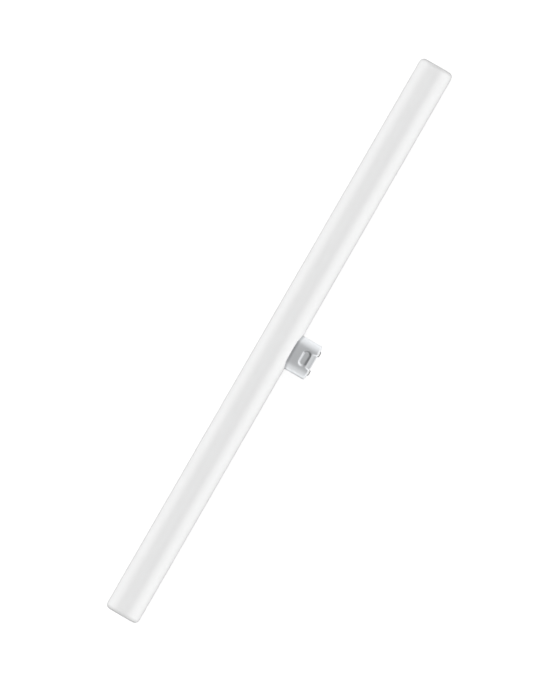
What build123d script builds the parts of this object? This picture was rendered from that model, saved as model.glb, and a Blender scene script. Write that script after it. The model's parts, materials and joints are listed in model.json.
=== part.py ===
from build123d import *
import math
import os

# Tubular light bulb: a straight opal tube, closed at both ends, with one two-contact cap on its side.
# It is drawn with the tube along X and the cap pointing up, and then laid down as it comes to rest on a
# table, on the tube's side and the rounded edge of the cap. Sizes are in millimetres.

# Opal tube
TUBE_LENGTH = 500.0
TUBE_DIAMETER = 29.0
TUBE_WALL = 1.0
TUBE_END_RADIUS = 4.0  # rounded corner of each closed end, outside
LEAD_HOLE_DIAMETER = 9.0  # way for the leads, in the tube's side under the cap

# Cap shell, drawn from sheet metal
CAP_OFFSET = -2.2  # the cap's middle along the tube, from the tube's middle
CAP_LENGTH = 30.0
CAP_WIDTH = 15.0
CAP_REACH = 17.5  # from the tube's side to the cap's end
CAP_EDGE_RADIUS = 1.5  # rounded edge between the cap's side and its end
SHELL_WALL = 0.6
LIP_WIDTH = 0.2  # how far the end's lip reaches past the wall where it is narrowest, at the ramps

# Latch pocket and lead-in ramp, pressed into each flat of the shell
POCKET_LENGTH = 13.7
POCKET_WIDTH = 7.5
POCKET_DEPTH = 1.2
POCKET_SLOPE = 33.0  # degrees between the pocket's sides and the flat
POCKET_EDGE_RADIUS = 0.5  # soft edge round the pocket
CREST_WIDTH = 0.3  # land left between the pocket and the ramp
RAMP_LENGTH = 4.1
RAMP_DEPTH = 1.2  # at the cap's end
RAMP_START_WIDTH = 11.9
RAMP_END_WIDTH = 14.7
RAMP_SIDE_SLOPE = 45.0  # degrees between the ramp's flared sides and the flat

# Contact carrier, a moulded plug held between the pressed pockets and the shell's lip
CARRIER_CLEARANCE = 0.05  # to the pockets, the lip and the mouth
CARRIER_FACE_THICKNESS = 4.0  # floor that the contacts pass through
CARRIER_PROUD = 0.3  # how far its face stands out of the shell's mouth
LEAD_ROOM = 0.4  # room round the contact tails in the lead channel

# Contacts, bent from strip
CONTACT_MARGIN = 4.25  # along the tube, from the cap's round end to the near side of a contact
CONTACT_LENGTH = 4.8  # along the tube
CONTACT_WIDTH = 6.0  # across the cap
CONTACT_THICKNESS = 0.7
CONTACT_BEND = 0.3  # inside radius
CONTACT_RISE = 1.5  # from the cap's end to the contact's outer face
CONTACT_TAIL = 2.0  # end of each leg, standing in the lead channel
CONTACT_CLEARANCE = 0.05  # round a leg in its slot

# How far a cutting shape runs past the surface that it cuts
CUT_MARGIN = 1.0

# Places that follow from the sizes above, as heights over the tube's axis
TUBE_RADIUS = TUBE_DIAMETER / 2
CAP_END = TUBE_RADIUS + CAP_REACH
RAMP_START = CAP_END - RAMP_LENGTH
POCKET_MIDDLE = RAMP_START - CREST_WIDTH - POCKET_WIDTH / 2
CHANNEL_FLOOR = CAP_END - CARRIER_FACE_THICKNESS
TAIL_END = CHANNEL_FLOOR - CONTACT_TAIL
PLUG_TOP = CAP_END - SHELL_WALL - CARRIER_CLEARANCE
CONTACT_TOP = CAP_END + CONTACT_RISE

# From the middle of one contact to the other
CONTACT_SPACING = CAP_LENGTH - 2 * CONTACT_MARGIN - CONTACT_LENGTH

# Insets from the cap's outline
PLUG_INSET = max(POCKET_DEPTH, RAMP_DEPTH) + SHELL_WALL + CARRIER_CLEARANCE
MOUTH_INSET = RAMP_DEPTH + SHELL_WALL + LIP_WIDTH


def tube_rod(inset):
    """A rod along X, smaller than the tube by inset all round."""
    return Rot(0, 90, 0) * Cylinder(TUBE_RADIUS - inset, TUBE_LENGTH - 2 * inset)


def opal_tube():
    """The sealed tube: rounded end corners outside, bevelled corners inside, and the lead hole in its side."""
    outside = tube_rod(0)
    outside = fillet(outside.edges().filter_by(GeomType.CIRCLE), TUBE_END_RADIUS)
    inside = tube_rod(TUBE_WALL)
    inside = chamfer(inside.edges().filter_by(GeomType.CIRCLE), TUBE_END_RADIUS - TUBE_WALL)
    lead_hole = extrude(Pos(CAP_OFFSET, 0) * Circle(LEAD_HOLE_DIAMETER / 2), TUBE_DIAMETER)
    return outside - inside - lead_hole


def flat_plane(depth):
    """A sketch plane parallel to the cap's +Y flat, at a depth under it: X along the tube, Y up the cap."""
    return Plane(origin=(0, CAP_WIDTH / 2 - depth, 0), x_dir=(1, 0, 0), z_dir=(0, -1, 0))


def pocket(inset):
    """The stadium-shaped dish that a holder's spring drops into. With the shell's wall as inset, it is the
    same dish seen from inside the sheet."""
    slope = math.radians(POCKET_SLOPE)
    sections = []
    for depth in (-CUT_MARGIN, POCKET_DEPTH + inset):
        grow = inset / math.sin(slope) - depth / math.tan(slope)
        outline = SlotOverall(POCKET_LENGTH + 2 * grow, POCKET_WIDTH + 2 * grow)
        sections.append(flat_plane(depth) * Pos(0, POCKET_MIDDLE) * outline)
    return loft(sections, ruled=True)


def ramp(inset):
    """The wedge that spreads a holder's spring as the cap goes in: it starts at the crest beside the pocket
    and deepens and widens to the cap's end. With the shell's wall as inset, it is the inside of the sheet."""
    fall = math.atan2(RAMP_DEPTH, RAMP_LENGTH)
    slope = math.radians(RAMP_SIDE_SLOPE)
    flare = (RAMP_END_WIDTH - RAMP_START_WIDTH) / 2 / RAMP_LENGTH
    deepest = RAMP_DEPTH + CUT_MARGIN * math.tan(fall) + inset / math.cos(fall)
    far = CAP_END + 2 * CUT_MARGIN
    sections = []
    for depth in (-CUT_MARGIN, deepest):
        near = RAMP_START + (depth - inset / math.cos(fall)) / math.tan(fall)
        grow = inset / math.sin(slope) - depth / math.tan(slope)
        half_near = RAMP_START_WIDTH / 2 + (near - RAMP_START) * flare + grow
        half_far = RAMP_START_WIDTH / 2 + (far - RAMP_START) * flare + grow
        corners = [(-half_near, near), (half_near, near), (half_far, far), (-half_far, far)]
        sections.append(flat_plane(depth) * make_face(Polyline(*corners, close=True)))
    return loft(sections, ruled=True)


def cap_block(inset, low, high):
    """A stadium block between two heights, with the cap's outline moved inwards by inset."""
    outline = SlotOverall(CAP_LENGTH - 2 * inset, CAP_WIDTH - 2 * inset)
    return extrude(Pos(0, 0, low) * outline, high - low)


def end_edge(block):
    """The edge round a block's upper end."""
    return block.faces().sort_by(Axis.Z)[-1].edges()


def press_flats(block, inset):
    """Press a pocket and a ramp into both flats of a block."""
    for pressed in (pocket(inset), ramp(inset)):
        block -= pressed
        block -= mirror(pressed, about=Plane.XZ)
    return block


def soften_pockets(shell):
    """Round the edge of each pocket where it meets the flat."""
    half_width = CAP_WIDTH / 2
    reach = POCKET_LENGTH / 2
    for side in (half_width, -half_width):
        rim = shell.edges().filter_by_position(Axis.Y, side, side)
        rim = rim.filter_by_position(Axis.Z, POCKET_MIDDLE - POCKET_WIDTH / 2, RAMP_START - CREST_WIDTH)
        rim = rim.filter_by_position(Axis.X, -reach, reach)
        shell = fillet(rim, POCKET_EDGE_RADIUS)
    return shell


def cap_shell():
    """The drawn shell: a wall that follows the pockets and ramps, a saddle rim that sits on the tube, and a
    lip round its mouth. The rounded end edge is bevelled inside, so the sheet is a little thicker there."""
    outside = cap_block(0, 0, CAP_END)
    outside = fillet(end_edge(outside), CAP_EDGE_RADIUS)
    inside = cap_block(SHELL_WALL, 0, CAP_END - SHELL_WALL)
    inside = chamfer(end_edge(inside), CAP_EDGE_RADIUS - SHELL_WALL)
    shell = press_flats(outside, 0) - press_flats(inside, SHELL_WALL)
    shell -= cap_block(MOUTH_INSET, PLUG_TOP, CAP_END + CUT_MARGIN)
    return soften_pockets(shell - tube_rod(0))


def contact_arch(inset, foot):
    """Side outline of a contact, moved inwards by inset: an upturned U's outside, from foot to the top."""
    top = CONTACT_TOP - inset
    outline = Rectangle(CONTACT_LENGTH - 2 * inset, top - foot)
    corners = outline.vertices().group_by(Axis.Y)[-1]
    outline = fillet(corners, CONTACT_BEND + CONTACT_THICKNESS - inset)
    return Plane.XZ * Pos(0, (top + foot) / 2) * outline


def contact():
    """A strip bent over its boss: a flat contact face with a leg down through the carrier at each end."""
    strip = contact_arch(0, TAIL_END) - contact_arch(CONTACT_THICKNESS, TAIL_END)
    return extrude(strip, CONTACT_WIDTH / 2, both=True)


def contact_places():
    """Where the two contacts sit on the cap, the one towards -X first."""
    return [Pos(side * CONTACT_SPACING / 2, 0, 0) for side in (-1, 1)]


def lead_channel():
    """The open space inside the carrier, from its floor to the tube, that the contact tails stand in."""
    length = CONTACT_SPACING + CONTACT_LENGTH + 2 * LEAD_ROOM
    width = CONTACT_WIDTH + 2 * LEAD_ROOM
    return extrude(Rectangle(length, width), CHANNEL_FLOOR)


def contact_carrier():
    """The moulding in the shell: a plug that sits on the tube, between the pockets, a neck that fills the
    mouth, and a boss with two slots for each contact."""
    carrier = cap_block(PLUG_INSET, 0, PLUG_TOP)
    carrier += cap_block(MOUTH_INSET + CARRIER_CLEARANCE, PLUG_TOP, CAP_END + CARRIER_PROUD)
    carrier -= lead_channel() + tube_rod(0)
    boss_side = contact_arch(CONTACT_THICKNESS, CHANNEL_FLOOR)
    slot_side = contact_arch(-CONTACT_CLEARANCE, TAIL_END) - contact_arch(CONTACT_THICKNESS, TAIL_END)
    boss = extrude(boss_side, CONTACT_WIDTH / 2, both=True)
    slots = extrude(slot_side, CONTACT_WIDTH / 2 + CONTACT_CLEARANCE, both=True)
    for place in contact_places():
        carrier += place * boss
        carrier -= place * slots
    return carrier


def rest_tilt():
    """How far the cap points below level, in degrees, when the tube and the cap's rounded edge both touch
    the table: the edge is an arc about a centre line inside the cap, and its lowest side is at the tube's."""
    along = CAP_END - CAP_EDGE_RADIUS
    across = CAP_WIDTH / 2 - CAP_EDGE_RADIUS
    drop = math.asin((TUBE_RADIUS - CAP_EDGE_RADIUS) / math.hypot(along, across))
    return math.degrees(drop - math.atan2(across, along))


cap_place = Pos(CAP_OFFSET, 0, 0)
left_place, right_place = contact_places()
pieces = {
    "opal_tube": opal_tube(),
    "cap_shell": cap_place * cap_shell(),
    "contact_carrier": cap_place * contact_carrier(),
    "contact_left": cap_place * left_place * contact(),
    "contact_right": cap_place * right_place * contact(),
}

# Laid down: the cap turns from +Z to -Y and dips by the rest tilt, and the table is at Z = 0.
laid_down = Pos(0, 0, TUBE_RADIUS) * Rot(90 + rest_tilt(), 0, 0)
pieces = {name: laid_down * piece for name, piece in pieces.items()}

# The origin is under the middle of the whole bulb, on the table.
footprint = Compound(list(pieces.values())).bounding_box().center()
centred = Pos(-footprint.X, -footprint.Y, 0)

os.makedirs("parts", exist_ok=True)
for name, piece in pieces.items():
    export_step(centred * piece, f"parts/{name}.step")
print(f"rest tilt {rest_tilt():.2f} degrees, footprint middle {footprint.X:.3f}, {footprint.Y:.3f}")
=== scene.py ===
# %% [markdown]
# # A tubular light bulb on a pale table
# The bulb is a straight opal tube, half a metre long, with one metal cap on its side. It lies as it comes
# to rest: on the tube and on the edge of the cap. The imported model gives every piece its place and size,
# so this lesson only makes the surfaces finer, gives them their finish, and sets up the camera and the
# light.

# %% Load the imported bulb
import json
import math

import bpy
import numpy as np
from mathutils import Matrix, Vector


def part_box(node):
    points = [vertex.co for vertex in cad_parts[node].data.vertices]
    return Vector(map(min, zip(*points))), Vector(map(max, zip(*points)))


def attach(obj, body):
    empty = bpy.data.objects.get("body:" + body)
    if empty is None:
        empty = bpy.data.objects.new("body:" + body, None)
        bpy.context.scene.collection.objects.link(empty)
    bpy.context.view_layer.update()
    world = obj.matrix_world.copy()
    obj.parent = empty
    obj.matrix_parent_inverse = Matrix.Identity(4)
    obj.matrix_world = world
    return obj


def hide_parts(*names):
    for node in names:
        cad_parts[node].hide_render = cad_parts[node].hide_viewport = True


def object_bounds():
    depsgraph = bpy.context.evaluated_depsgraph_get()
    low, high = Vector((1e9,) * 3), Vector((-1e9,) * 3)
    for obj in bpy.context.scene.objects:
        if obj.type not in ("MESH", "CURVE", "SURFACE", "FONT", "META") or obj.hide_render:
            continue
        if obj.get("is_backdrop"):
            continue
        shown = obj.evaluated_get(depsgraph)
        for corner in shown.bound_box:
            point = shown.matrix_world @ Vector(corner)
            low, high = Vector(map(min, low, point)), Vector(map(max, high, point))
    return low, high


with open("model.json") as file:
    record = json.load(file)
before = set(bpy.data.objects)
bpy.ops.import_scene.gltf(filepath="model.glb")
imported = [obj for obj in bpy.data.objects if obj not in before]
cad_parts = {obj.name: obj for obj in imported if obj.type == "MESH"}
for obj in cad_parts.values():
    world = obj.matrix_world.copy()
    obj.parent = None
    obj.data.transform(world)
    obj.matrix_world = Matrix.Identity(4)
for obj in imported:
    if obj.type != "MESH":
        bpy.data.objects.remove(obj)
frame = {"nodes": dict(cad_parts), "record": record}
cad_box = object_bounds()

print("pieces of the packed bulb:", ", ".join(sorted(frame["nodes"])))

# %% [markdown]
# ## The bulb's own directions
# The tube runs along X. The cap points sideways and dips a little until its edge touches the table, so
# the cap has slanted directions of its own: *out* along the cap, and *up* square to its flat. The
# record's mount for the cap holds the first, and a cross product gives the other. Every surface below is
# worked out in these bulb coordinates (along the tube, up, out) from the middle of the tube, and is then
# turned into the table's frame.

# %% Directions and places
tube_low, tube_high = (np.array(corner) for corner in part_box("opal_tube"))
tube_middle = (tube_low + tube_high) / 2
tube_length = tube_high[0] - tube_low[0]
tube_radius = (tube_high[2] - tube_low[2]) / 2

cap_mount = next(m for m in frame["record"]["mounts"] if m["name"] == "cap")
along = np.array((1.0, 0.0, 0.0))
out = np.array(cap_mount["axis"])
out = out / np.linalg.norm(out)
up = np.cross(out, along)
bulb_axes = np.stack((along, up, out))

cap_place = np.array(cap_mount["pos_m"]) - tube_middle
cap_middle = cap_place @ along
cap_end = cap_place @ out


def to_table(points):
    """Bulb coordinates to the table's frame: the tube's middle, plus each coordinate times its
    direction."""
    return tube_middle + points @ bulb_axes


print(f"the tube is {tube_length:.3f} m long with a radius of {tube_radius:.4f} m")
print(f"the cap ends {cap_end:.4f} m from the tube's axis")
print(f"the cap dips {math.degrees(math.asin(-out[2])):.2f} degrees")

# %% [markdown]
# ## From a grid of points to a mesh
# Each new surface is a grid: rows of points, where every row is a closed loop. Joining neighbours makes
# four-sided faces, and the index arithmetic is done for the whole grid at once. A tube-like grid can be
# closed by one point at each end (a pole), or by joining its last row to its first, as on a ring. Seen
# from the end that the rows lead to, the columns run anticlockwise, and so the faces point outwards.

# %% Mesh helpers
def quads(rows, columns, ring):
    """Faces of a grid numbered row by row: each point with its right, upper right and upper neighbours.
    Columns wrap round, and with ring the rows do too."""
    row, column = np.meshgrid(np.arange(rows if ring else rows - 1), np.arange(columns), indexing="ij")
    right = (column + 1) % columns
    here = row * columns
    above = (row + 1) % rows * columns
    corners = (here + column, here + right, above + right, above + column)
    return np.stack(corners, axis=-1).reshape(-1, 4)


def fan(first, columns, pole, upwards):
    """Triangles from a pole to the loop of points that starts at number first."""
    here = first + np.arange(columns)
    following = first + (np.arange(columns) + 1) % columns
    ends = (here, following) if upwards else (following, here)
    return np.stack((*ends, np.full(columns, pole)), axis=-1)


def make_surface(name, grid, poles=None):
    """A smooth mesh from a grid of bulb coordinates, rows x columns x 3. Two poles close its ends, or
    else its last row joins its first."""
    rows, columns = grid.shape[:2]
    points = grid.reshape(-1, 3)
    faces = quads(rows, columns, ring=poles is None).tolist()
    if poles is not None:
        faces += fan(0, columns, len(points), upwards=False).tolist()
        faces += fan((rows - 1) * columns, columns, len(points) + 1, upwards=True).tolist()
        points = np.concatenate((points, np.asarray(poles)))
    mesh = bpy.data.meshes.new(name)
    mesh.from_pydata(to_table(points).tolist(), [], faces)
    mesh.shade_smooth()
    piece = bpy.data.objects.new(name, mesh)
    bpy.context.scene.collection.objects.link(piece)
    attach(piece, "root")
    print(f"{name}: {len(points)} points, {len(faces)} faces")
    return piece


print(f"for example, a ring of 3 rows and 4 columns has {len(quads(3, 4, ring=True))} faces")

# %% [markdown]
# ## The opal tube
# The real tube is drawn to an even round and its ends are closed flat, with a soft corner. It could be a
# cylinder with bevelled rims, but a profile that is turned about the axis puts the rows of points where
# they are needed: close together in the soft corners and wide apart on the straight side. The profile is
# a flat end, a quarter arc, the straight side, and the same again backwards.

# %% Tube profile
MM = 0.001  # in metres
TUBE_END_RADIUS = 4.0 * MM
END_RINGS = 6
CORNER_STEPS = 20
SIDE_RINGS = 80


def arc(start, stop, steps):
    """Angles from start to stop degrees, in radians, without the first one."""
    return np.radians(np.linspace(start, stop, steps + 1))[1:]


def tube_profile():
    """Stations along the tube and radii. An end is a flat disc, then a quarter arc about a centre that
    lies one corner radius inside both the end and the side; the second end mirrors the first."""
    flat = np.linspace(0, tube_radius - TUBE_END_RADIUS, END_RINGS + 1)[1:]
    turn = arc(0, 90, CORNER_STEPS)
    station = np.concatenate((np.zeros(END_RINGS), TUBE_END_RADIUS * (1 - np.cos(turn))))
    radius = np.concatenate((flat, tube_radius - TUBE_END_RADIUS * (1 - np.sin(turn))))
    station -= tube_length / 2
    side = np.linspace(station[-1], -station[-1], SIDE_RINGS + 2)[1:-1]
    stations = np.concatenate((station, side, -station[::-1]))
    radii = np.concatenate((radius, np.full(SIDE_RINGS, tube_radius), radius[::-1]))
    return stations, radii


print(f"the tube's profile has {len(tube_profile()[0])} rings")

# %% Tube surface
TUBE_COLUMNS = 192


def tube_surface():
    """The profile turned about the tube's axis: up = radius times cosine, out = radius times sine."""
    stations, radii = tube_profile()
    turn = np.linspace(0, 2 * np.pi, TUBE_COLUMNS, endpoint=False)
    station, angle = np.meshgrid(stations, turn, indexing="ij")
    radius = np.broadcast_to(radii[:, None], angle.shape)
    grid = np.stack((station, radius * np.cos(angle), radius * np.sin(angle)), axis=-1)
    half = tube_length / 2
    return make_surface("opal_tube_skin", grid, poles=[(-half, 0, 0), (half, 0, 0)])


tube = tube_surface()
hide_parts("opal_tube")

# %% [markdown]
# ## Soft corners for pressed sheet
# The cap's shell is pressed from one sheet, and each of its flats has two marks pressed into it: a
# lead-in ramp and a latch pocket. Cutting them with booleans would leave knife edges. Here they are a
# depth worked out for each point of the flat, built from soft versions of "not below zero" and "the
# smaller of two", so that every edge is rounded as it is on pressed sheet.

# %% Soft versions of two functions
def soft_positive(value, softness):
    """A rounded corner at zero: half of the value plus the root of its square plus the softness
    squared."""
    return (value + np.sqrt(value**2 + softness**2)) / 2


def soft_smaller(first, second, softness):
    """The smaller of two values with a rounded change-over: their mean less half their softened
    difference."""
    return (first + second - np.sqrt((first - second) ** 2 + softness**2)) / 2


print(f"a corner of softness 1 misses the sharp corner by {soft_positive(0.0, 1.0):.1f}")

# %% [markdown]
# ## The lead-in ramp
# When the cap is pushed into its holder, a ramp at the cap's end spreads the holder's spring. It is a
# wedge with flared sides, so its depth is the smaller of two falls: one from the crest towards the cap's
# end, and one inwards from the nearer side. The fall from the crest is a little hollow, because the sheet
# bends most where it starts.

# %% Ramp depth
RAMP_LENGTH = 4.1 * MM
RAMP_DEPTH = 1.2 * MM
RAMP_HOLLOW = 0.8
RAMP_START_WIDTH = 11.9 * MM
RAMP_END_WIDTH = 14.7 * MM
RAMP_SIDE_SLOPE = math.tan(math.radians(45))
RAMP_SOFTNESS = 0.25 * MM

ramp_start = cap_end - RAMP_LENGTH


def ramp_depth(x, h):
    """The full depth, times the way from the crest to the end, times one plus the hollow times what is
    left of the way; or the fall from the nearer flared side, where that is smaller."""
    way = (h - ramp_start) / RAMP_LENGTH
    half_width = (RAMP_START_WIDTH + (RAMP_END_WIDTH - RAMP_START_WIDTH) * way) / 2
    side_fall = (half_width - np.abs(x)) * RAMP_SIDE_SLOPE
    end_fall = RAMP_DEPTH * way * (1 + RAMP_HOLLOW * (1 - way))
    return soft_positive(soft_smaller(end_fall, side_fall, RAMP_SOFTNESS), RAMP_SOFTNESS)


print(f"the ramp is {ramp_depth(0.0, cap_end) / MM:.2f} mm deep at the cap's end")

# %% [markdown]
# ## The latch pocket
# Behind the ramp's crest lies a long round dish with sloped sides, where the spring drops in and holds
# the cap. Its outline could be drawn and lofted down to a smaller floor. A distance does it in one
# formula: all points at one distance from a short line are a long round, and the distance inside it,
# times a slope, is the depth.

# %% Pocket depth
POCKET_LENGTH = 13.7 * MM
POCKET_WIDTH = 7.2 * MM
POCKET_DEPTH = 1.2 * MM
POCKET_SLOPE = math.tan(math.radians(38))
POCKET_SOFTNESS = 0.15 * MM
CREST_WIDTH = 0.1 * MM

pocket_middle = ramp_start - CREST_WIDTH - POCKET_WIDTH / 2


def pocket_offset(x, h):
    """From the short line along the pocket's middle to a point, along the tube and out."""
    half_line = (POCKET_LENGTH - POCKET_WIDTH) / 2
    return x - np.clip(x, -half_line, half_line), h - pocket_middle


def pocket_depth(x, h):
    """How far inside the pocket's outline a point lies, times the slope of its sides, kept between zero
    and the pocket's depth. The outline is all points at one radius from the line along the pocket's
    middle."""
    inside = POCKET_WIDTH / 2 - np.hypot(*pocket_offset(x, h))
    fall = inside * POCKET_SLOPE
    return soft_positive(fall, POCKET_SOFTNESS) - soft_positive(fall - POCKET_DEPTH, POCKET_SOFTNESS)


def pressed_depth(x, h):
    """The pocket and the ramp together, both measured from the flat."""
    return pocket_depth(x, h) + ramp_depth(x, h)


print(f"the pocket's floor lies {pocket_depth(0.0, pocket_middle) / MM:.2f} mm under the flat")
print(f"the crest beside the ramp lies {pressed_depth(0.0, ramp_start) / MM:.2f} mm under the flat")

# %% [markdown]
# ## The cap's outline
# Seen from its end, the cap is a long round with two flats. Straight lines and arcs would meet without a
# corner, but the bend would start all at once, and satin metal shows that as a hard line in its shading.
# On pressed sheet the bend starts gently. So the outline is worked out from its directions, which swing
# slowly over the flats and evenly round the ends.

# %% Cap outline
CAP_WIDTH = 15.0 * MM
FLAT_CROWN = 0.045  # the larger, the rounder the flats
FLAT_SHARE = 0.97  # of the flat's half length, where the columns change over to the round
FLAT_COLUMNS = 130
ROUND_COLUMNS = 60

shell_low, shell_high = (np.array(corner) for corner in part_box("cap_shell"))
cap_length = shell_high[0] - shell_low[0]


def cap_outline(length, width):
    """Points of the cap's outline and their outward directions, half of it and the same turned about. A
    point is a radius along its direction from a centre, and the centre goes from one end of the flat to
    the other as the direction swings over it. With no crown the swing would be a jump and the outline a
    stadium. The crown makes it gradual: the direction's share along the tube, divided by the root of its
    square plus the crown squared."""
    half_flat = (length - width) / 2 / (math.hypot(1, FLAT_CROWN) - FLAT_CROWN)
    radius = width / 2 - half_flat * FLAT_CROWN
    place = np.linspace(FLAT_SHARE, -FLAT_SHARE, FLAT_COLUMNS, endpoint=False)
    over_flat = np.arccos(FLAT_CROWN * place / np.sqrt(1 - place**2))
    round_start = math.pi - over_flat[0]
    over_round = np.linspace(round_start, math.pi + over_flat[0], ROUND_COLUMNS, endpoint=False)
    turn = np.concatenate((over_flat, over_round))
    direction = np.stack((np.cos(turn), np.sin(turn)), axis=-1)
    swing = direction * (1 + FLAT_CROWN**2, FLAT_CROWN**2) / np.hypot(direction[:, :1], FLAT_CROWN)
    half = half_flat * swing + radius * direction
    return np.concatenate((half, -half)), np.concatenate((direction, -direction))


outline, outward = cap_outline(cap_length, CAP_WIDTH)
print(f"the outline has {len(outline)} points and is {np.ptp(outline[:, 0]) / MM:.2f} mm long")

# %% [markdown]
# ## The cap shell
# The shell is one sheet with an inside and an outside. It could be an open surface that a modifier
# thickens, but the lip at the mouth and the rim on the tube need their own forms. So one profile is
# carried round the outline: up the wall from the saddle rim on the tube, over the rounded edge, across
# the lip to the mouth, and back down inside. Each profile point is an inset from the outline and a
# height, and the pressed depth is added to the inset. The last row joins the first, so the sheet is
# closed.

# %% Outer side of the shell
CAP_EDGE_RADIUS = 1.1 * MM
RAMP_EDGE_RADIUS = 0.6 * MM
SHELL_WALL = 0.6 * MM
LIP_WIDTH = 0.1 * MM
WALL_START = 19.0 * MM  # from the tube's axis, where the even rows of the wall start
SADDLE_ROWS = 16
WALL_ROWS = 110
EDGE_ROWS = 14
LIP_ROWS = 5

mouth_inset = RAMP_DEPTH + SHELL_WALL + LIP_WIDTH


def saddle_height(inset):
    """Where a wall at this inset meets the tube: the root of the tube's radius squared less the distance
    across squared."""
    across = outline[:, 1] - outward[:, 1] * inset
    return np.sqrt(tube_radius**2 - across**2)


def outside_profile():
    """Insets and heights of the sheet's outer side, from the rim to the lip. Over the edge, the inset
    grows by one minus the cosine and the height by the sine of the turn."""
    x = outline[:, 0]
    end_depth = pressed_depth(x, cap_end)
    radius = CAP_EDGE_RADIUS + (RAMP_EDGE_RADIUS - CAP_EDGE_RADIUS) * end_depth / RAMP_DEPTH
    rise = np.linspace(0, 1, SADDLE_ROWS, endpoint=False)[:, None]
    saddle = saddle_height(0)
    lower = saddle + rise * (WALL_START - saddle)
    climb = np.linspace(0, 1, WALL_ROWS)[:, None]
    upper = WALL_START + climb * (cap_end - radius - WALL_START)
    turn = arc(0, 90, EDGE_ROWS)[:, None]
    edge = cap_end - radius * (1 - np.sin(turn))
    height = np.concatenate((lower, upper, edge))
    inset = pressed_depth(x[None, :], height)
    inset[-EDGE_ROWS:] += radius * (1 - np.cos(turn))
    lip = inset[-1] + np.linspace(0, 1, LIP_ROWS + 1)[1:, None] * (mouth_inset - inset[-1])
    return np.concatenate((inset, lip)), np.concatenate((height, np.full_like(lip, cap_end)))


rim = saddle_height(0)
print(f"the rim rises from {rim.min() / MM:.2f} mm on the flats to {rim.max() / MM:.2f} mm at the ends")

# %% Inner side of the shell
MOUTH_EDGE = 0.05 * MM  # least width of the lip's underside
INSIDE_ROWS = 24


def inside_profile():
    """The sheet's inner side, from the mouth down to the rim: the lip's underside, then the pressed depth
    plus the wall, with the bend bevelled."""
    x = outline[:, 0]
    bevel = CAP_EDGE_RADIUS - SHELL_WALL
    under = cap_end - SHELL_WALL
    fall = np.linspace(0, 1, INSIDE_ROWS)[:, None]
    inner_rim = saddle_height(SHELL_WALL)
    wall_height = (under - bevel) + fall * (inner_rim - under + bevel)
    wall = pressed_depth(x[None, :], wall_height) + SHELL_WALL
    bend = np.minimum(pressed_depth(x, under) + SHELL_WALL + bevel, mouth_inset - MOUTH_EDGE)
    inset = np.concatenate((np.full_like(bend, mouth_inset)[None], bend[None], wall))
    height = np.concatenate((np.full((2, len(x)), under), wall_height))
    return inset, height


print(f"the mouth lies {mouth_inset / MM:.2f} mm inside the outline")

# %% Shell surface
def profile_grid(inset, height):
    """Bulb coordinates of a profile carried round the outline: each point moves in from the outline by
    its inset, and out along the cap to its height."""
    flat_points = outline[None] - inset[..., None] * outward[None]
    return np.stack((flat_points[..., 0] + cap_middle, flat_points[..., 1], height), axis=-1)


def shell_surface():
    """The outer and the inner side of the sheet as one ring of rows."""
    profiles = zip(outside_profile(), inside_profile())
    inset, height = (np.concatenate(sides) for sides in profiles)
    return make_surface("cap_shell_skin", profile_grid(inset, height))


shell = shell_surface()
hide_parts("cap_shell")

# %% [markdown]
# ## The contacts
# Each contact is a strip of plated metal bent over a boss on the white carrier: a flat face with a leg at
# each end. It could be an extruded outline, but its sheared edges would be razor sharp. Instead a thin
# rounded section is carried along the bent path, with the bends as quarter arcs, and a pole closes each
# end.

# %% Path and section of a contact
CONTACT_LENGTH = 4.8 * MM
CONTACT_WIDTH = 6.0 * MM
CONTACT_THICKNESS = 0.7 * MM
CONTACT_BEND = 0.3 * MM
CONTACT_RISE = 1.5 * MM
CONTACT_LEG = 7.5 * MM
CONTACT_EDGE = 0.12 * MM
BEND_STEPS = 10
EDGE_STEPS = 4


def strip_path():
    """The middle line of a bent strip, as points and their outward directions: up a leg, round a bend,
    across the face and down again. A leg's outward direction is sideways and the face's is out of the
    cap."""
    radius = CONTACT_BEND + CONTACT_THICKNESS / 2
    half_run = CONTACT_LENGTH / 2 - CONTACT_THICKNESS / 2 - radius
    centre_height = cap_end + CONTACT_RISE - CONTACT_THICKNESS / 2 - radius
    bend = np.radians(np.linspace(180, 90, BEND_STEPS + 1))
    turn = np.concatenate(([np.pi], bend, np.pi - bend[::-1], [0.0]))
    side = np.repeat((-half_run, half_run), BEND_STEPS + 2)
    direction = np.stack((np.cos(turn), np.sin(turn)), axis=-1)
    points = np.stack((side, np.full_like(side, centre_height)), axis=-1) + radius * direction
    points[[0, -1], 1] = cap_end + CONTACT_RISE - CONTACT_LEG
    return points, direction


def strip_section():
    """A rectangle of the strip's width and thickness with rounded corners, as offsets across the cap and
    along the outward direction: each corner is a quarter arc about its own centre."""
    half = np.array((CONTACT_WIDTH / 2 - CONTACT_EDGE, CONTACT_THICKNESS / 2 - CONTACT_EDGE))
    quarter = np.radians(np.linspace(0, 90, EDGE_STEPS + 1))
    turns = quarter[None] + np.radians((0, 90, 180, 270))[:, None]
    signs = np.array(((1, 1), (-1, 1), (-1, -1), (1, -1)))
    corners = (signs * half)[:, None] + CONTACT_EDGE * np.stack((np.cos(turns), np.sin(turns)), axis=-1)
    return corners.reshape(-1, 2)


print(f"a contact's path has {len(strip_path()[0])} points and its section {len(strip_section())}")

# %% Contact surfaces
CONTACT_SPACING = 16.7 * MM
SHARP_ANGLE = math.radians(50)


def contact_surface(name, place):
    """The section carried along the path: a path point, plus the section's offsets across and outward.
    The cut ends of the legs stay sharp in the shading."""
    points, direction = strip_path()
    section = strip_section()
    across = np.broadcast_to(section[None, :, 0], (len(points), len(section)))
    line = points[:, None] + section[None, :, 1:] * direction[:, None]
    grid = np.stack((line[..., 0] + cap_middle + place, across, line[..., 1]), axis=-1)
    poles = grid[[0, -1]].mean(axis=1)
    contact = make_surface(name, grid, poles)
    contact.data.set_sharp_from_angle(angle=SHARP_ANGLE)
    return contact


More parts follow.
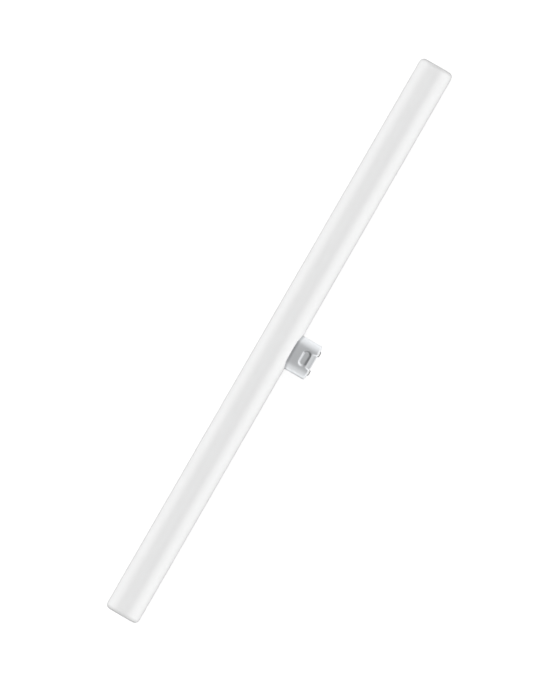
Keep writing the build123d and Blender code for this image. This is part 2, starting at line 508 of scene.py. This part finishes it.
contacts = {}
for side, node in ((-1, "contact_left"), (1, "contact_right")):
    contacts[node] = contact_surface(f"{node}_strip", side * CONTACT_SPACING / 2)
    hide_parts(node)

# %% [markdown]
# ## Finishes as nodes
# A finish in Blender is a small network of nodes that ends in a shader. Building it by hand in the editor
# is quick for one material, but a few helpers in code give all four materials the same plan: noise on the
# object's own coordinates varies the colour, the polish and a fine bump, and plain numbers are set on the
# shader itself.

# %% Adding nodes
def feed(tree, node, inputs):
    """Each input of a node, by name or number, set to a value or linked from a socket."""
    for key, value in inputs.items():
        if isinstance(value, bpy.types.NodeSocket):
            tree.links.new(value, node.inputs[key])
        else:
            node.inputs[key].default_value = value


def add(tree, kind, inputs=None, **settings):
    """A new node with its settings and inputs."""
    node = tree.nodes.new(kind)
    for key, value in settings.items():
        setattr(node, key, value)
    feed(tree, node, inputs or {})
    return node


def new_material(name):
    """A node material with a fresh Principled shader, as (material, tree, shader)."""
    material = bpy.data.materials.new(name)
    material.use_nodes = True
    tree = material.node_tree
    shader = next(n for n in tree.nodes if n.type == "BSDF_PRINCIPLED")
    return material, tree, shader


# %% Noise, colours and bumps
NOISE_RANGE = (0.3, 0.7)  # where most of a noise's values lie
MIX_FIRST = 6  # the Mix node's sockets for colours, which share their names with those for numbers
MIX_SECOND = 7
MIX_RESULT = 2


def object_noise(tree, scale, detail, stretch=(1, 1, 1)):
    """Noise on the object's own coordinates, stretched by a Mapping node."""
    place = add(tree, "ShaderNodeTexCoord")
    mapping = add(tree, "ShaderNodeMapping", {"Vector": place.outputs["Object"], "Scale": stretch})
    inputs = {"Vector": mapping.outputs["Vector"], "Scale": scale, "Detail": detail}
    return add(tree, "ShaderNodeTexNoise", inputs).outputs["Fac"]


def spread(tree, value, low, high, source=NOISE_RANGE):
    """A value that runs over the source range, spread evenly from low to high."""
    inputs = {"Value": value, "From Min": source[0], "From Max": source[1], "To Min": low, "To Max": high}
    return add(tree, "ShaderNodeMapRange", inputs).outputs["Result"]


def blend_colours(tree, factor, first, second):
    """The first colour where the factor is zero and the second where it is one."""
    inputs = {"Factor": factor, MIX_FIRST: first, MIX_SECOND: second}
    return add(tree, "ShaderNodeMix", inputs, data_type="RGBA").outputs[MIX_RESULT]


def bump(tree, height, strength, distance):
    """A normal tilted by the slope of a height, for marks too fine for the mesh."""
    inputs = {"Height": height, "Strength": strength, "Distance": distance}
    return add(tree, "ShaderNodeBump", inputs).outputs["Normal"]


print(f"noise from {NOISE_RANGE[0]} to {NOISE_RANGE[1]} is spread over each range of polish")

# %% [markdown]
# ## Opal glass
# Opal glass scatters light inside its wall, so it looks like soft white under a clear skin. A mix of
# transparent shaders would show the hollow tube behind it, which the real one never does. A white base
# with some scattering under the surface gives the depth. A clear, slightly tinted coat stands for the
# clear glass outside the white: a slanting ray has a longer way through it, so the tube's edges are a
# little darker. Very faint streaks along the tube, from drawing it, vary the tone, and a broad cloud
# varies the polish.

# %% Opal finish
OPAL_WHITE = (0.96, 0.96, 0.958, 1)
OPAL_SHADE = (0.945, 0.947, 0.948, 1)
OPAL_STREAKS = {"scale": 180, "detail": 3, "stretch": (0.06, 1, 1)}
OPAL_CLOUD = {"scale": 30, "detail": 4}
OPAL_ROUGHNESS = (0.40, 0.50)
OPAL_BUMP = {"strength": 0.05, "distance": 0.05 * MM}
OPAL_SCATTER = 0.15
OPAL_SCATTER_REACH = 1.5 * MM
OPAL_SCATTER_RADII = (1, 1, 1)  # red, green and blue reach equally far
OPAL_IOR = 1.5
OPAL_GLOSS = 0.1
CASING_TINT = (0.90, 0.90, 0.90, 1)
CASING_IOR = 1.01
CASING_ROUGHNESS = 0.3


def opal_glass():
    """White with faint drawn streaks, a satin skin and a little scattering under it, all inside a clear
    casing."""
    material, tree, shader = new_material("opal_glass")
    streaks = object_noise(tree, **OPAL_STREAKS)
    cloud = object_noise(tree, **OPAL_CLOUD)
    feed(tree, shader, {
        "Base Color": blend_colours(tree, streaks, OPAL_WHITE, OPAL_SHADE),
        "Roughness": spread(tree, cloud, *OPAL_ROUGHNESS),
        "Normal": bump(tree, streaks, **OPAL_BUMP),
        "Subsurface Weight": OPAL_SCATTER,
        "Subsurface Radius": OPAL_SCATTER_RADII,
        "Subsurface Scale": OPAL_SCATTER_REACH,
        "IOR": OPAL_IOR,
        "Specular IOR Level": OPAL_GLOSS,
        "Coat Weight": 1.0,
        "Coat Roughness": CASING_ROUGHNESS,
        "Coat IOR": CASING_IOR,
        "Coat Tint": CASING_TINT,
    })
    return material


def dress(piece, material):
    """The piece's only material."""
    piece.data.materials.clear()
    piece.data.materials.append(material)
    print(f"{material.name} on {piece.name}, {len(material.node_tree.nodes)} nodes")


dress(tube, opal_glass())

# %% [markdown]
# ## Painted shade on the shell
# Two places on the shell are painted darker than the rest, as painted shade: a band along its rim, where
# the cap meets the tube, and the pocket's sides that face away from the light. Both could be masks painted
# by hand. Here each is a number worked out for every point of the mesh and kept as an attribute, which the
# material can read: the height over the rim, and how far a point of the pocket's side turns towards the
# pocket's far end or the cap's end.

# %% Wear attributes
POCKET_SHADE_TURN = (0.15, 0.5)  # how far a side turns to the far end where the painted shade starts, and where it is full
POCKET_SHADE_SIDE = 0.5  # the painted shade's weight on the side towards the cap's end
LEAST_OFFSET = 0.1 * MM  # keeps the division defined on the pocket's middle line


def add_measure(piece, measure):
    """A point attribute named for the function that measures it from bulb coordinates."""
    points = np.empty(len(piece.data.vertices) * 3)
    piece.data.vertices.foreach_get("co", points)
    values = measure((points.reshape(-1, 3) - tube_middle) @ bulb_axes.T).astype(np.float32)
    piece.data.attributes.new(measure.__name__, "FLOAT", "POINT").data.foreach_set("value", values)
    print(f"{piece.name}: {measure.__name__} from {values.min():.4f} to {values.max():.4f}")


def rim_height(points):
    """Height over the saddle: the distance to the tube's axis less the tube's radius."""
    return np.hypot(points[:, 1], points[:, 2]) - tube_radius


def pocket_side_shade(points):
    """Painted shade in the pocket, on the sides that face away from the light: up to one on the pocket's
    side at its far end, and weaker on the side towards the cap's end. It grows with the turn towards them,
    and fades out at the pocket's edge and floor: one minus the fourth power of twice the depth's share less
    one."""
    x = points[:, 0] - cap_middle
    offset_x, offset_h = pocket_offset(x, points[:, 2])
    distance = np.maximum(np.hypot(offset_x, offset_h), LEAST_OFFSET)
    towards = (offset_x / distance - POCKET_SHADE_TURN[0]) / (POCKET_SHADE_TURN[1] - POCKET_SHADE_TURN[0])
    towards = np.clip(np.maximum(towards, POCKET_SHADE_SIDE * offset_h / distance), 0, 1)
    share = np.clip(pocket_depth(x, points[:, 2]) / POCKET_DEPTH, 0, 1)
    return towards * (1 - (2 * share - 1) ** 4)


# the height over the rim places the painted shade along the rim on the tube
add_measure(shell, rim_height)
# painted shade on the pocket's sides that face away from the light
add_measure(shell, pocket_side_shade)

# %% [markdown]
# ## Satin aluminium
# The shell is satin aluminium. A metal shader with one roughness would look like plastic foil, so a fine
# grain varies the polish, and faint draw marks run out along the cap as a bump. The specular tint makes the
# metal a little darker where it is seen at a slant, and the two attributes blend in painted shade: a darker
# band along the rim on the tube, and dark pocket sides that face away from the light.

# %% Shell finish
SHELL_GREY = (0.95, 0.972, 0.993, 1)
# painted shade along the rim, where the cap meets the tube
SHELL_RIM_SHADE = (0.655, 0.672, 0.69, 1)
# painted shade on the pocket's sides that face away from the light
SHELL_POCKET_SHADE = (0.36, 0.37, 0.38, 1)
SHELL_EDGE_TINT = (0.70, 0.70, 0.70, 1)
# heights over the rim where the painted shade starts to fade and where it ends
RIM_SHADE_BAND = (0.9 * MM, 2.2 * MM)
SHELL_GRAIN = {"scale": 2500, "detail": 3}
SHELL_ROUGHNESS = (0.30, 0.38)
DRAW_MARKS = {"scale": 900, "detail": 2, "stretch": (1, 0.08, 0.08)}
DRAW_BUMP = {"strength": 0.08, "distance": 0.02 * MM}


def shell_metal():
    """Satin aluminium with a fine grain and faint draw marks, and painted shade: a darker band along the
    rim and dark sides in the pocket.
    """
    material, tree, shader = new_material("shell_metal")
    grain = object_noise(tree, **SHELL_GRAIN)
    marks = object_noise(tree, **DRAW_MARKS)
    height = add(tree, "ShaderNodeAttribute", attribute_name="rim_height").outputs["Fac"]
    # where the pocket's sides get their painted shade
    pocket_shade = add(tree, "ShaderNodeAttribute", attribute_name="pocket_side_shade").outputs["Fac"]
    # a band of painted shade along the rim on the tube
    rim_shaded = blend_colours(tree, spread(tree, height, 0, 1, RIM_SHADE_BAND), SHELL_RIM_SHADE, SHELL_GREY)
    feed(tree, shader, {
        # the pocket's sides are painted dark, as painted shade
        "Base Color": blend_colours(tree, pocket_shade, rim_shaded, SHELL_POCKET_SHADE),
        "Roughness": spread(tree, grain, *SHELL_ROUGHNESS),
        "Normal": bump(tree, marks, **DRAW_BUMP),
        "Metallic": 1.0,
        "Specular Tint": SHELL_EDGE_TINT,
    })
    return material


dress(shell, shell_metal())

# %% [markdown]
# ## Nickel plate
# The contacts are nickel plated, and the holder's springs slide along them. Two noises could vary the
# colour and the polish, but on the real strip one wear made both. So a single stretched noise drives them
# together, and its rubbed streaks are lighter and less smooth than the rest.

# %% Contact finish
NICKEL = (0.38, 0.388, 0.40, 1)
NICKEL_RUBBED = (0.48, 0.488, 0.50, 1)
NICKEL_STREAKS = {"scale": 1500, "detail": 3, "stretch": (0.15, 1, 1)}
NICKEL_ROUGHNESS = (0.22, 0.40)


def nickel_plate():
    """Plated strip with rubbed streaks along the tube's direction."""
    material, tree, shader = new_material("contact_metal")
    streaks = object_noise(tree, **NICKEL_STREAKS)
    feed(tree, shader, {
        "Base Color": blend_colours(tree, streaks, NICKEL, NICKEL_RUBBED),
        "Roughness": spread(tree, streaks, *NICKEL_ROUGHNESS),
        "Metallic": 1.0,
    })
    return material


plate = nickel_plate()
for contact in contacts.values():
    dress(contact, plate)

# %% [markdown]
# ## Moulded white
# The carrier between the contacts is a white moulding. Its solid is right as it was packed, so it keeps
# its mesh and only gets a finish: a matt grain, as a mould's surface leaves it, in the colour, the polish
# and a fine bump.

# %% Carrier finish
MOULDED_WHITE = (0.86, 0.86, 0.85, 1)
MOULDED_SHADE = (0.83, 0.83, 0.82, 1)
MOULD_GRAIN = {"scale": 1800, "detail": 4}
MOULD_ROUGHNESS = (0.48, 0.60)
MOULD_BUMP = {"strength": 0.15, "distance": 0.02 * MM}


def moulded_white():
    """White plastic with a fine matt grain."""
    material, tree, shader = new_material("white_insulator")
    grain = object_noise(tree, **MOULD_GRAIN)
    feed(tree, shader, {
        "Base Color": blend_colours(tree, grain, MOULDED_WHITE, MOULDED_SHADE),
        "Roughness": spread(tree, grain, *MOULD_ROUGHNESS),
        "Normal": bump(tree, grain, **MOULD_BUMP),
    })
    return material


dress(frame["nodes"]["contact_carrier"], moulded_white())

# %% [markdown]
# ## The camera
# The photograph looks square onto the cap's flat with no perspective to be seen, and the tube leans about
# thirty degrees. An orthographic camera would do, but a very long lens from far away is what a
# photographer would use, and it keeps working when the view is moved. The camera looks down the *up*
# direction, and its right and upright directions are the tube's and the cap's, turned by the lean.

# %% Camera
PHOTO_SIZE = (559, 680)
TUBE_MIDDLE_PX = (279.41, 340.74)
TUBE_LENGTH_PX = 634.2
TUBE_LEAN = math.radians(29.96)
LENS_MM = 1000
SENSOR_MM = 36
CLIP_END = 300  # metres, past the table's far edge

pixel = tube_length / TUBE_LENGTH_PX
right = math.sin(TUBE_LEAN) * along + math.cos(TUBE_LEAN) * out
upright = math.cos(TUBE_LEAN) * along - math.sin(TUBE_LEAN) * out
aside = (PHOTO_SIZE[0] / 2 - TUBE_MIDDLE_PX[0]) * pixel
raised = (TUBE_MIDDLE_PX[1] - PHOTO_SIZE[1] / 2) * pixel
distance = PHOTO_SIZE[1] * pixel * LENS_MM / SENSOR_MM


def placed(place, x_axis, y_axis, z_axis):
    """The matrix of an object at a place, with its three axes along these directions."""
    turn = Matrix(np.stack((x_axis, y_axis, z_axis), axis=-1).tolist()).to_4x4()
    return Matrix.Translation(Vector(place)) @ turn


lens = bpy.data.cameras.new("camera")
lens.lens = LENS_MM
lens.sensor_width = SENSOR_MM
lens.clip_end = CLIP_END
camera = bpy.data.objects.new("camera", lens)
stand = tube_middle + aside * right + raised * upright + distance * up
camera.matrix_world = placed(stand, right, upright, up)
bpy.context.scene.collection.objects.link(camera)
bpy.context.scene.camera = camera
print(f"camera {distance:.2f} m away, {pixel / MM:.4f} mm a pixel")

# %% [markdown]
# ## The table
# The picture's ground is plain white. A table lit to white would throw so much light back that the bulb
# would lose its shade from below. So the table is grey for the light in the room, and where the camera or
# a reflection looks at it a glow is added that brings it to white while it still takes a soft shadow.
# Where the cap reflects the table, the glow also hides the cap's shadow. A shaded spot beside the cap's
# lower end, for reflections alone, stands in for it and draws the cap's edge there as a thin grey line.

# %% Shade beside the cap
CAP_SHADE = 0.42  # taken off the table's glow
CAP_SHADE_BAND = (8.0 * MM, 22.0 * MM)  # from the spot, where the shade starts to fade and where it ends
CAP_SHADE_ASIDE = 6.0 * MM
CAP_SHADE_REACH = 22.0 * MM

shade_aside = cap_middle - cap_length / 2 - CAP_SHADE_ASIDE
shade_spot = (tube_middle + shade_aside * along + CAP_SHADE_REACH * out) * (1, 1, 0)


def cap_shade(tree):
    """Full shade near the spot on the table, fading out evenly with the distance from it."""
    place = add(tree, "ShaderNodeTexCoord").outputs["Object"]
    gap = add(tree, "ShaderNodeVectorMath", {0: place, 1: shade_spot}, operation="DISTANCE")
    return spread(tree, gap.outputs["Value"], CAP_SHADE, 0, CAP_SHADE_BAND)


print(f"the shaded spot lies at X {shade_spot[0] / MM:.1f} mm and Y {shade_spot[1] / MM:.1f} mm")

# %% Table finish
TABLE_GREY = (0.30, 0.30, 0.30, 1)
SHADOW_SHARE = (0.42, 0.42, 0.42, 1)
TABLE_GLOW = 0.75
WHITE = (1, 1, 1, 1)


def compute(tree, operation, first, second=0.0):
    """The result of one math node."""
    return add(tree, "ShaderNodeMath", {0: first, 1: second}, operation=operation).outputs[0]


def table_material():
    """For the camera, reflections and see-through rays, a glow and a weak matt layer that takes the
    shadow; for the light in the room, a plain grey table. Reflections also show the shade beside the
    cap."""
    material, tree, shader = new_material("table")
    tree.nodes.remove(shader)
    light = add(tree, "ShaderNodeLightPath").outputs
    seen = compute(tree, "MAXIMUM", light["Is Camera Ray"], light["Is Glossy Ray"])
    seen = compute(tree, "MAXIMUM", seen, light["Is Transmission Ray"])
    plain = add(tree, "ShaderNodeBsdfDiffuse", {"Color": TABLE_GREY})
    weak = add(tree, "ShaderNodeBsdfDiffuse", {"Color": SHADOW_SHARE})
    shade = compute(tree, "MULTIPLY", cap_shade(tree), light["Is Glossy Ray"])
    strength = compute(tree, "SUBTRACT", TABLE_GLOW, shade)
    glow = add(tree, "ShaderNodeEmission", {"Color": WHITE, "Strength": strength})
    white = add(tree, "ShaderNodeAddShader", {0: weak.outputs[0], 1: glow.outputs[0]})
    mixed = add(tree, "ShaderNodeMixShader", {0: seen, 1: plain.outputs[0], 2: white.outputs[0]})
    output = next(n for n in tree.nodes if n.type == "OUTPUT_MATERIAL")
    feed(tree, output, {"Surface": mixed.outputs[0]})
    return material


# %% Table surface
TABLE_HALF = 60.0  # metres, so that its edge is far behind the bulb in other views


def make_table():
    """A square at the height that the bulb lies on."""
    corners = np.array(((-1, -1, 0), (1, -1, 0), (1, 1, 0), (-1, 1, 0))) * TABLE_HALF
    mesh = bpy.data.meshes.new("table")
    mesh.from_pydata(corners.tolist(), [], [(0, 1, 2, 3)])
    table = bpy.data.objects.new("table", mesh)
    dress(table, table_material())
    bpy.context.scene.collection.objects.link(table)
    table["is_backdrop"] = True


make_table()

# %% [markdown]
# ## The light in the room
# On the photograph the tube has a grey middle and light flanks, and the cap's round ends are brighter
# than its flat. So the room is dim behind the camera, and bright towards the tube's two ends and the
# cap's side. Many lamps could do that, but each would be a spot in the metal. A dome whose strength is a
# formula of the direction has no edges.

# %% Room light
DOME_MIDDLE = 0.26
DOME_ENDS = 0.56
DOME_ENDS_POWER = 0.6
DOME_OUT = 0.385
DOME_ALONG = 0.06


def light_room():
    """A dome whose strength is a middle value, plus a power of the direction's share along the tube times
    a factor, plus the direction's share towards the bright side, and never below zero."""
    world = bpy.data.worlds.new("room")
    world.use_nodes = True
    tree = world.node_tree
    background = next(n for n in tree.nodes if n.type == "BACKGROUND")
    place = add(tree, "ShaderNodeTexCoord").outputs["Generated"]

    def share(axis):
        """The dot product of the direction and an axis."""
        product = add(tree, "ShaderNodeVectorMath", {0: place, 1: axis}, operation="DOT_PRODUCT")
        return product.outputs["Value"]

    ends = compute(tree, "POWER", compute(tree, "ABSOLUTE", share(along)), DOME_ENDS_POWER)
    ends = compute(tree, "MULTIPLY", ends, DOME_ENDS)
    bright_side = share(DOME_OUT * out + DOME_ALONG * along)
    strength = compute(tree, "ADD", compute(tree, "ADD", ends, bright_side), DOME_MIDDLE)
    feed(tree, background, {"Color": WHITE, "Strength": compute(tree, "MAXIMUM", strength, 0.0)})
    bpy.context.scene.world = world


light_room()
print(f"dome: {DOME_MIDDLE:.2f} behind the camera, {DOME_MIDDLE + DOME_OUT:.2f} on the cap's side")

# %% [markdown]
# ## Two soft boxes
# The dome alone leaves the tube's flanks too grey. Two long soft boxes, one on each side of the tube,
# lift them far more than the middle. The light of a sun lamp would end in a hard line on the tube, and
# that of a wide box ends softly. The boxes are hidden from the camera and from reflections, so the metal
# doesn't show them.

# %% Soft boxes
BOX_SIZE = (4.0, 0.8)  # metres, along the tube and across
BOX_REACH = 4.0  # metres from the tube
CAP_SIDE_ANGLE = 71  # degrees
CAP_SIDE_GLOW = 10.9
FAR_SIDE_ANGLE = -79  # degrees
FAR_SIDE_GLOW = 15.6


def soft_box(name, lean, glow):
    """A long soft box beside the tube, turned to face it. It stands at an angle from straight over the
    flat towards the cap's side, and its power is its glow times pi times its area."""
    lamp = bpy.data.lights.new(name, "AREA")
    lamp.shape = "RECTANGLE"
    lamp.size, lamp.size_y = BOX_SIZE
    lamp.energy = glow * math.pi * BOX_SIZE[0] * BOX_SIZE[1]
    box = bpy.data.objects.new(name, lamp)
    towards = math.cos(math.radians(lean)) * up + math.sin(math.radians(lean)) * out
    box.matrix_world = placed(tube_middle + BOX_REACH * towards, along, np.cross(towards, along), towards)
    box.visible_camera = False
    box.visible_glossy = False
    bpy.context.scene.collection.objects.link(box)
    print(f"{name}: {lamp.energy:.0f} W, {box.matrix_world.translation.z:.2f} m over the table")


soft_box("cap_side_box", CAP_SIDE_ANGLE, CAP_SIDE_GLOW)
soft_box("far_side_box", FAR_SIDE_ANGLE, FAR_SIDE_GLOW)

# %% [markdown]
# ## Last settings
# The view transform stays plain so that a colour comes out as it was written. The box of the imported bulb
# and of the finished one are written side by side, to show that the looks didn't change the size.

# %% Finish
bpy.context.scene.view_settings.view_transform = "Standard"
visual_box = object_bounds()
boxes = {"cad": [list(corner) for corner in cad_box], "visual": [list(corner) for corner in visual_box]}
for name, box in boxes.items():
    print(name, [[round(value, 5) for value in corner] for corner in box])
